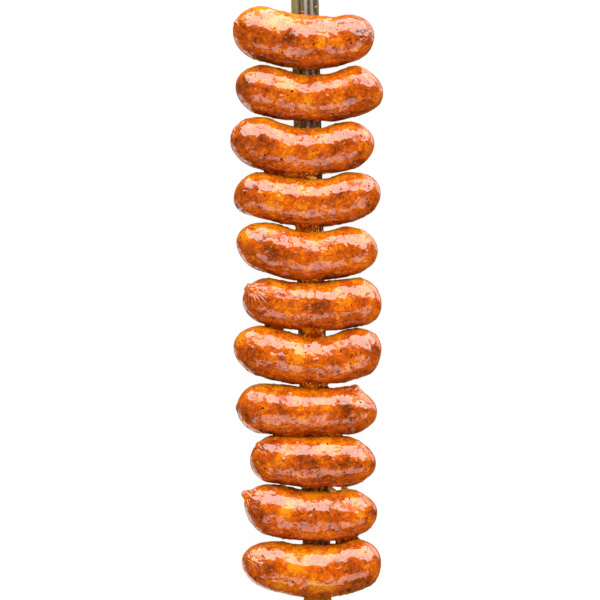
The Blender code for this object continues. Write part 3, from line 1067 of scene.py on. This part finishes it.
def bump_node(tree, height, distance, strength=1.0):
    """Unevenness that is too fine for the mesh, distance millimetres high."""
    inputs = {"Strength": strength, "Distance": distance * MM, "Height": height}
    return put(tree, "Bump", inputs).outputs["Normal"]


def mix_colour(tree, factor, first, second):
    """The first colour where the factor is 0 and the second where it is 1."""
    inputs = {0: factor, 6: first, 7: second}
    return put(tree, "Mix", inputs, data_type="RGBA").outputs[2]


def maths(tree, operation, first, second):
    return put(tree, "Math", {0: first, 1: second}, operation=operation).outputs[0]


def weighted_sum(tree, *terms):
    """The sum of values, each times its weight."""
    parts = [maths(tree, "MULTIPLY", value, weight) for value, weight in terms]
    total = parts[0]
    for part in parts[1:]:
        total = maths(tree, "ADD", total, part)
    return total


def opaque(rgb):
    return (*rgb, 1.0)


def ramp_node(tree, value, *stops):
    """The value's colour on a ramp of two or more stops, each a position and a colour, in their order."""
    ramp = put(tree, "ValToRGB", {"Fac": value})
    elements = ramp.color_ramp.elements
    for element, (position, tone) in zip(elements, (stops[0], stops[-1])):
        element.position, element.color = position, opaque(tone)
    for position, tone in stops[1:-1]:
        elements.new(position).color = opaque(tone)
    return ramp.outputs["Color"]


def new_material(name):
    material = bpy.data.materials.new(name)
    material.use_nodes = True
    tree = material.node_tree
    surface = tree.nodes["Principled BSDF"]
    place = put(tree, "TexCoord", {}).outputs["Object"]
    return material, tree, surface, place


def specks(tree, place, spacing, size, chance, seed):
    """Spots of about the given size: one in each cell of that spacing, kept with the given chance."""
    shifted = put(tree, "Mapping", {"Vector": place, "Location": (seed, seed, 0.0)}).outputs["Vector"]
    noise_inputs = {"Vector": shifted, "Scale": SPECK_RAG_SCALE / (size * MM), "Detail": 1.0}
    ragged = put(tree, "TexNoise", noise_inputs).outputs["Color"]
    pushed = put(tree, "VectorMath", {0: ragged, 1: (0.5, 0.5, 0.5)}, operation="SUBTRACT").outputs[0]
    push_scale = SPECK_RAG * size * MM
    scaled = put(tree, "VectorMath", {0: pushed, "Scale": push_scale}, operation="SCALE").outputs[0]
    moved = put(tree, "VectorMath", {0: shifted, 1: scaled}, operation="ADD").outputs[0]
    cell = put(tree, "TexVoronoi", {"Vector": moved, "Scale": 1.0 / (spacing * MM), "Randomness": 1.0})
    edge, core = SPECK_EDGE * size / spacing, SPECK_CORE * size / spacing
    near = step_node(tree, cell.outputs["Distance"], edge, core)
    picked = put(tree, "SeparateColor", {"Color": cell.outputs["Color"]}).outputs["Red"]
    return maths(tree, "MULTIPLY", near, maths(tree, "LESS_THAN", picked, chance))


def casing_tone(tree, place, look, mottled):
    """Golden to charred in patches, with painted shade and light across each link, and red bits, pepper and
    flecks of fat under the casing.
    """
    heat_and_shading = weighted_sum(
        tree,
        (noise_node(tree, place, 16.0, detail=2.0), 0.30),
        (noise_node(tree, place, 7.0, detail=4.0, roughness=0.6, distortion=0.4), 0.50),
        (mottled, 0.40),
        (noise_node(tree, place, 1.3, detail=2.0, roughness=0.6), 0.22),
        # The stored browning, with its painted shade and light across the link.
        (put(tree, "Attribute", {}, attribute_name="browning").outputs["Fac"], 0.10),
    )
    tone = ramp_node(
        tree, heat_and_shading, (0.57, look.golden), (0.67, look.orange), (0.78, look.browned), (0.90, look.charred)
    )
    lean = noise_node(tree, place, 5.0, detail=3.0, distortion=0.8)
    bits = (
        (step_node(tree, lean, 0.57, 0.67), 0.6, look.red),
        (specks(tree, place, spacing=4.2, size=1.6, chance=0.30, seed=0.31), 0.55, look.fat),
        (specks(tree, place, spacing=6.0, size=2.2, chance=0.13, seed=0.53), 0.5, look.red),
        (specks(tree, place, spacing=4.0, size=1.5, chance=0.45, seed=0.17), 0.9, look.pepper),
    )
    for spots, most, bit in bits:
        tone = mix_colour(tree, maths(tree, "MULTIPLY", spots, most), tone, opaque(bit))
    return tone


def grease_film(tree, place):
    """How much film of fat there is: patchy, less on the side towards the tip, and wiped off in places."""
    patchy = noise_node(tree, place, 5.0, detail=5.0, roughness=0.66, distortion=0.8)
    wetness = put(tree, "Attribute", {}, attribute_name="wetness").outputs["Fac"]
    lack = maths(tree, "MULTIPLY", maths(tree, "SUBTRACT", wetness, 1.0), 0.03)
    film = step_node(tree, maths(tree, "ADD", patchy, lack), 0.40, 0.44, least=0.02)
    wiped = noise_node(tree, place, 11.0, detail=3.0, roughness=0.6, distortion=0.5)
    return maths(tree, "MULTIPLY", film, step_node(tree, wiped, 0.37, 0.43, least=0.3))


def casing_material(look):
    """Glossy grilled casing under an uneven film of fat."""
    material, tree, surface, place = new_material("grilled_casing")
    mottled = noise_node(tree, place, 2.6, detail=4.0, roughness=0.65, distortion=0.6)
    rough_grain = noise_node(tree, place, 1.1, detail=3.0, roughness=0.6)
    set_inputs(tree, surface, {
        "Base Color": casing_tone(tree, place, look, mottled),
        "Roughness": step_node(tree, mottled, 0.40, 0.70, least=0.30, most=0.45),
        "Specular IOR Level": 0.03,
        "Normal": bump_node(tree, rough_grain, 0.07),
        "Coat Weight": grease_film(tree, place),
        "Coat Roughness": look.grease,
        "Coat IOR": 1.9,
        "Coat Normal": bump_node(tree, rough_grain, 0.02),
    })
    return material


def lit_and_shaded_stripes(tree, place, look, blotches):
    """Light and dark stripes along the blade's ribs and grooves, wandering a little: painted highlights on
    the ribs, and painted shade as well as stains in the grooves.
    """
    wander = maths(tree, "MULTIPLY", maths(tree, "SUBTRACT", blotches, 0.5), STRIPE_WANDER * MM)
    across = maths(tree, "ADD", put(tree, "SeparateXYZ", {"Vector": place}).outputs["X"], wander)
    half_width = 0.5 * BLADE_WIDTH * MM
    share_across = put(tree, "MapRange", {"Value": across, "From Min": -half_width, "From Max": half_width})
    stripes = (
        # Steel on the ribs is a painted highlight; the stain in the grooves is painted shade as well as
        # burnt-on fat.
        (0.0, look.steel), (0.05, look.olive), (0.24, look.olive), (0.27, look.stain_and_shade), (0.33, look.stain_and_shade),
        (0.37, look.olive), (0.44, look.stain_and_shade), (0.48, look.steel), (0.56, look.steel), (0.60, look.stain_and_shade),
        (0.66, look.stain_and_shade), (0.69, look.steel), (0.77, look.steel), (0.80, look.stain_and_shade), (0.90, look.stain_and_shade),
        (0.96, look.olive), (1.0, look.stain_and_shade),
    )
    return ramp_node(tree, share_across.outputs["Result"], *stripes)


def steel_material(look):
    """Used skewer steel, stained and painted with highlights and shade in stripes along its length, with
    browned fat on it between the links.
    """
    material, tree, surface, place = new_material("skewer_steel")
    drawn = put(tree, "Mapping", {"Vector": place, "Scale": (1.0, 0.05, 1.0)}).outputs["Vector"]
    streaks = noise_node(tree, drawn, 0.7, detail=4.0)
    blotches = noise_node(tree, place, 2.4, detail=5.0, roughness=0.7, distortion=0.4)
    along = put(tree, "SeparateXYZ", {"Vector": place}).outputs["Y"]
    tone = lit_and_shaded_stripes(tree, place, look, blotches)
    tone = mix_colour(tree, step_node(tree, streaks, 0.45, 0.75, most=0.45), tone, opaque(look.stain_and_shade))
    light_flecks = step_node(tree, noise_node(tree, place, 1.1, detail=2.0), 0.60, 0.72, most=0.55)
    tone = mix_colour(tree, light_flecks, tone, opaque(look.steel))
    greased = step_node(tree, along, CLEAN_ABOVE * MM, (CLEAN_ABOVE - GREASE_FADE) * MM, most=0.42)
    patchy = maths(tree, "MULTIPLY", step_node(tree, blotches, 0.62, 0.34), 1.2)
    greased = maths(tree, "ADD", greased, maths(tree, "MULTIPLY", greased, patchy))
    burnt, amber, honey = opaque(look.burnt), opaque(look.amber), opaque(look.honey)
    browned = mix_colour(tree, step_node(tree, blotches, 0.40, 0.62), burnt, amber)
    tone = mix_colour(tree, greased, tone, browned)
    fatty = mix_colour(tree, step_node(tree, blotches, 0.40, 0.60), amber, honey)
    below_links = step_node(tree, along, HONEY_TOP * MM, (HONEY_TOP - HONEY_TOP_FADE) * MM)
    before_tip = step_node(tree, along, HONEY_FOOT * MM, (HONEY_FOOT + HONEY_FOOT_FADE) * MM)
    tone = mix_colour(tree, maths(tree, "MULTIPLY", below_links, before_tip), tone, fatty)
    rough, rougher = look.roughness - STREAK_SMOOTHER, look.roughness + STREAK_ROUGHER
    set_inputs(tree, surface, {
        "Base Color": tone,
        "Metallic": 0.12,
        "Roughness": step_node(tree, streaks, 0.3, 0.7, rough, rougher),
        "Specular IOR Level": 0.12,
        "Normal": bump_node(tree, blotches, 0.12, strength=0.5),
    })
    return material


def juice_and_shade_material(look):
    """Meat juice and fat that have browned between the links; its dark tones are partly painted shade where
    the links touch.
    """
    material, tree, surface, place = new_material("browned_juice_and_shade")
    patchy = noise_node(tree, place, 3.4, detail=5.0, roughness=0.65, distortion=0.6)
    wet = noise_node(tree, place, 2.0, detail=4.0, roughness=0.7)
    stops = ((0.37, look.burnt), (0.50, look.browned), (0.70, look.golden))
    set_inputs(tree, surface, {
        "Base Color": ramp_node(tree, patchy, *stops),
        "Roughness": step_node(tree, wet, 0.6, 0.3, least=0.35, most=0.6),
        "Specular IOR Level": 0.03,
        "Normal": bump_node(tree, wet, 0.2, strength=0.8),
        "Coat Weight": step_node(tree, wet, 0.5, 0.62, most=0.5),
        "Coat Roughness": 0.08,
        "Coat IOR": 1.6,
    })
    return material


def crumb_material(look):
    """Fried crumbs and threads of fat, pale to amber from one to the next."""
    material, tree, surface, place = new_material("fried_fat")
    changing = noise_node(tree, place, 2.2, detail=2.0)
    grain = noise_node(tree, place, 0.5, detail=2.0)
    stops = ((0.28, look.browned), (0.38, look.golden), (0.56, look.pale))
    set_inputs(tree, surface, {
        "Base Color": ramp_node(tree, changing, *stops),
        "Roughness": step_node(tree, grain, 0.3, 0.7, least=0.25, most=0.5),
        "Specular IOR Level": 0.1,
        "Normal": bump_node(tree, grain, 0.08, strength=0.5),
        "Coat Weight": 0.4,
        "Coat Roughness": 0.06,
    })
    return material


def pepper_material(look):
    """Coarsely ground pepper, nearly black with brown skins."""
    material, tree, surface, place = new_material("ground_pepper")
    grain = noise_node(tree, place, 0.7, detail=3.0)
    skins = step_node(tree, grain, 0.45, 0.65)
    set_inputs(tree, surface, {
        "Base Color": mix_colour(tree, skins, opaque(look.pepper), opaque(look.charred)),
        "Roughness": step_node(tree, grain, 0.3, 0.7, least=0.3, most=0.6),
        "Specular IOR Level": 0.1,
    })
    return material


# The stage


def add_window(window, look):
    """A far rectangular light as wide and tall as the directions that it fills, unseen by the camera."""
    wide = 2.0 * LIGHT_DISTANCE * math.tan(math.radians(window.half_width))
    tall = 2.0 * LIGHT_DISTANCE * math.tan(math.radians(0.5 * (window.high - window.low)))
    data = bpy.data.lights.new(window.name, "AREA")
    data.shape = "RECTANGLE"
    data.size, data.size_y = wide, tall
    data.energy = getattr(look, window.brightness) * math.pi * wide * tall
    obj = new_object(window.name, data)
    turn, lean = math.radians(window.turn), math.radians(0.5 * (window.low + window.high))
    level = math.sin(lean)
    obj.location = LIGHT_DISTANCE * Vector((level * math.sin(turn), level * math.cos(turn), math.cos(lean)))
    obj.rotation_euler = (-obj.location).to_track_quat("-Z", "Y").to_euler()
    obj.visible_camera = False
    obj.visible_diffuse = window.diffuse
    obj.visible_glossy = window.glossy


def make_camera(look):
    data = bpy.data.cameras.new("camera")
    data.lens = look.lens
    data.sensor_fit = "HORIZONTAL"
    data.clip_start, data.clip_end = NEAREST_SEEN, FARTHEST_SEEN
    obj = new_object("camera", data)
    distance = FRAME_WIDTH * data.lens / data.sensor_width
    obj.location = Vector((*FRAME_CENTRE, SILHOUETTE_HEIGHT + distance)) * MM
    obj.rotation_euler = (0.0, 0.0, -FRAME_ROLL)
    bpy.context.scene.camera = obj


def make_floor(look):
    bm = bmesh.new()
    bmesh.ops.create_grid(bm, x_segments=1, y_segments=1, size=FLOOR_HALF_SIZE)
    mesh = bpy.data.meshes.new("floor")
    bm.to_mesh(mesh)
    bm.free()
    obj = new_object("floor", mesh)
    obj.location.z = -FLOOR_GAP * MM
    material, tree, surface, _ = new_material("pale_floor")
    seen = put(tree, "LightPath", {}).outputs["Is Camera Ray"]
    set_inputs(tree, surface, {
        "Base Color": opaque(look.floor),
        "Roughness": 0.9,
        "Specular IOR Level": 0.0,
        "Emission Color": opaque((1.0, 1.0, 1.0)),
        "Emission Strength": maths(tree, "MULTIPLY", seen, FLOOR_GLOW),
    })
    mesh.materials.append(material)
    obj.visible_glossy = False
    obj.visible_shadow = False


def make_surroundings(look):
    """A dim, warm world that the rims of the links reflect more of than it lights."""
    world = bpy.data.worlds.new("studio")
    world.use_nodes = True
    tree = world.node_tree
    reflected = put(tree, "LightPath", {}).outputs["Is Glossy Ray"]
    strength = step_node(tree, reflected, 0.0, 1.0, SURROUNDINGS_LIGHT, SURROUNDINGS_REFLECTED)
    set_inputs(tree, tree.nodes["Background"], {"Color": opaque(look.surroundings), "Strength": strength})
    bpy.context.scene.world = world


class SAUSAGE_OT_links(bpy.types.Operator):
    """Makes the sausage links, each with its casing ties and the slot of the blade"""

    bl_idname = "sausage.make_links"
    bl_label = "Sausage links"

    def execute(self, context):
        shape = settings("sausage_shape")
        material = casing_material(settings("casing_look"))
        slot_ends = (TIP_Y + POINT_LENGTH, BUTT_Y - BUTT_CORNER)
        cutter = swept_blade("slot_cutter", slot_ends, SLOT_CLEARANCE, SLOT_STEPS, 0.0)
        detail = 1.0
        for number, link in enumerate(LINKS, start=1):
            points, faces = link_mesh(link, number, shape, detail)
            obj = mesh_object(f"sausage_{number:02d}", points, faces)
            ties = [make_tie(link, number, side) for side in (LEFT, RIGHT)]
            cut_and_join(obj, ties + make_ribs(obj, link, number), cutter)
            paint_casing(obj, link, number)
            obj.data.materials.clear()
            obj.data.materials.append(material)
            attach(obj, BODY)
            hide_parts(f"link_{number:02d}")
        bpy.data.objects.remove(cutter)
        return {"FINISHED"}


class SAUSAGE_OT_blade(bpy.types.Operator):
    """Makes the flat, fluted blade of the skewer"""

    bl_idname = "sausage.make_blade"
    bl_label = "Skewer blade"

    def execute(self, context):
        obj = swept_blade("blade", blade_stations(), 0.0, BLADE_STEPS, EDGE_RADIUS)
        obj.data.materials.append(steel_material(settings("blade_look")))
        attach(obj, BODY)
        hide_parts("skewer")
        return {"FINISHED"}


class SAUSAGE_OT_juices(bpy.types.Operator):
    """Makes the browned juice, its dark tones partly painted shade, that closes parts of the gaps between
    links
    """

    bl_idname = "sausage.make_juices"
    bl_label = "Browned juice"

    def execute(self, context):
        points, faces = merged(juice_mesh(juice) for juice in JUICES)
        obj = mesh_object("browned_juice_and_shade", points, faces)
        finish_piece(obj, juice_and_shade_material(settings("casing_look")))
        return {"FINISHED"}


class SAUSAGE_OT_crumbs(bpy.types.Operator):
    """Makes the threads of fat between links and the fried crumbs round the blade"""

    bl_idname = "sausage.make_crumbs"
    bl_label = "Threads and crumbs of fat"

    def execute(self, context):
        draw = random.Random(CRUMB.seed)
        links = [f"sausage_{i + 1:02d}" for i in range(len(LINKS))]
        trees = search_trees(links + ["blade", "browned_juice_and_shade"])
        meshes = []
        for patch in CRUMBS:
            for _ in range(patch.count):
                x = draw.uniform(patch.left, patch.right)
                if patch.link:
                    low, high = gap_edges(patch.link, x)
                    y = draw.uniform(low - CRUMB_PAST_LOW, high + CRUMB_PAST_HIGH)
                else:
                    edge = spine(LINKS[0], x).y + link_radius(LINKS[0], x)
                    y = edge + abs(draw.gauss(0.0, CRUMB_SCATTER)) - CRUMB_PAST_HIGH
                meshes.append(drawn_lump(draw, CRUMB, patch.size, trees, x, y))
        meshes += [thread_mesh(thread) for thread in THREADS]
        obj = mesh_object("fried_fat", *merged(meshes))
        finish_piece(obj, crumb_material(settings("casing_look")))
        return {"FINISHED"}


class SAUSAGE_OT_pepper(bpy.types.Operator):
    """Makes the flakes of ground pepper on the links"""

    bl_idname = "sausage.make_pepper"
    bl_label = "Ground pepper"

    def execute(self, context):
        draw = random.Random(PEPPER.seed)
        meshes = []
        for number, link in enumerate(LINKS, start=1):
            trees = search_trees([f"sausage_{number:02d}"])
            for _ in range(PEPPER_COUNT):
                x = draw.uniform(-PEPPER_REACH * link.reach[LEFT], PEPPER_REACH * link.reach[RIGHT])
                y = spine(link, x).y + draw.uniform(*PEPPER_ACROSS) * link_radius(link, x)
                meshes.append(drawn_lump(draw, PEPPER, PEPPER_SIZE, trees, x, y))
        obj = mesh_object("ground_pepper", *merged(meshes))
        finish_piece(obj, pepper_material(settings("casing_look")))
        return {"FINISHED"}


class SAUSAGE_OT_stage(bpy.types.Operator):
    """Makes the pale floor, the camera and the lights"""

    bl_idname = "sausage.make_stage"
    bl_label = "Floor, camera and lights"

    def execute(self, context):
        look = settings("stage_look")
        make_camera(look)
        make_floor(look)
        make_surroundings(look)
        for window in WINDOWS:
            add_window(window, look)
        context.scene.view_settings.view_transform = "Standard"
        return {"FINISHED"}


OPERATORS = (
    SAUSAGE_OT_links,
    SAUSAGE_OT_blade,
    SAUSAGE_OT_juices,
    SAUSAGE_OT_crumbs,
    SAUSAGE_OT_pepper,
    SAUSAGE_OT_stage,
)


class SAUSAGE_PT_panel(bpy.types.Panel):
    """Lists the pieces and the sizes and colours that they are made from"""

    bl_idname = "SAUSAGE_PT_panel"
    bl_label = "Sausage Skewer"
    bl_space_type = "VIEW_3D"
    bl_region_type = "UI"
    bl_category = "Sausages"

    def draw(self, context):
        for name, group in PROPERTY_GROUPS.items():
            box = self.layout.box()
            for key in group.__annotations__:
                box.prop(getattr(context.scene, name), key)
        for operator in OPERATORS:
            self.layout.operator(operator.bl_idname)


CLASSES = (*PROPERTY_GROUPS.values(), *OPERATORS, SAUSAGE_PT_panel)


def register():
    for cls in CLASSES:
        bpy.utils.register_class(cls)
    for name, group in PROPERTY_GROUPS.items():
        setattr(bpy.types.Scene, name, bpy.props.PointerProperty(type=group))


def unregister():
    for name in PROPERTY_GROUPS:
        delattr(bpy.types.Scene, name)
    for cls in reversed(CLASSES):
        bpy.utils.unregister_class(cls)


def main():
    register()
    bpy.ops.sausage.make_links()
    bpy.ops.sausage.make_blade()
    bpy.ops.sausage.make_juices()
    bpy.ops.sausage.make_crumbs()
    bpy.ops.sausage.make_pepper()
    bpy.ops.sausage.make_stage()


if __name__ == "__main__":
    main()
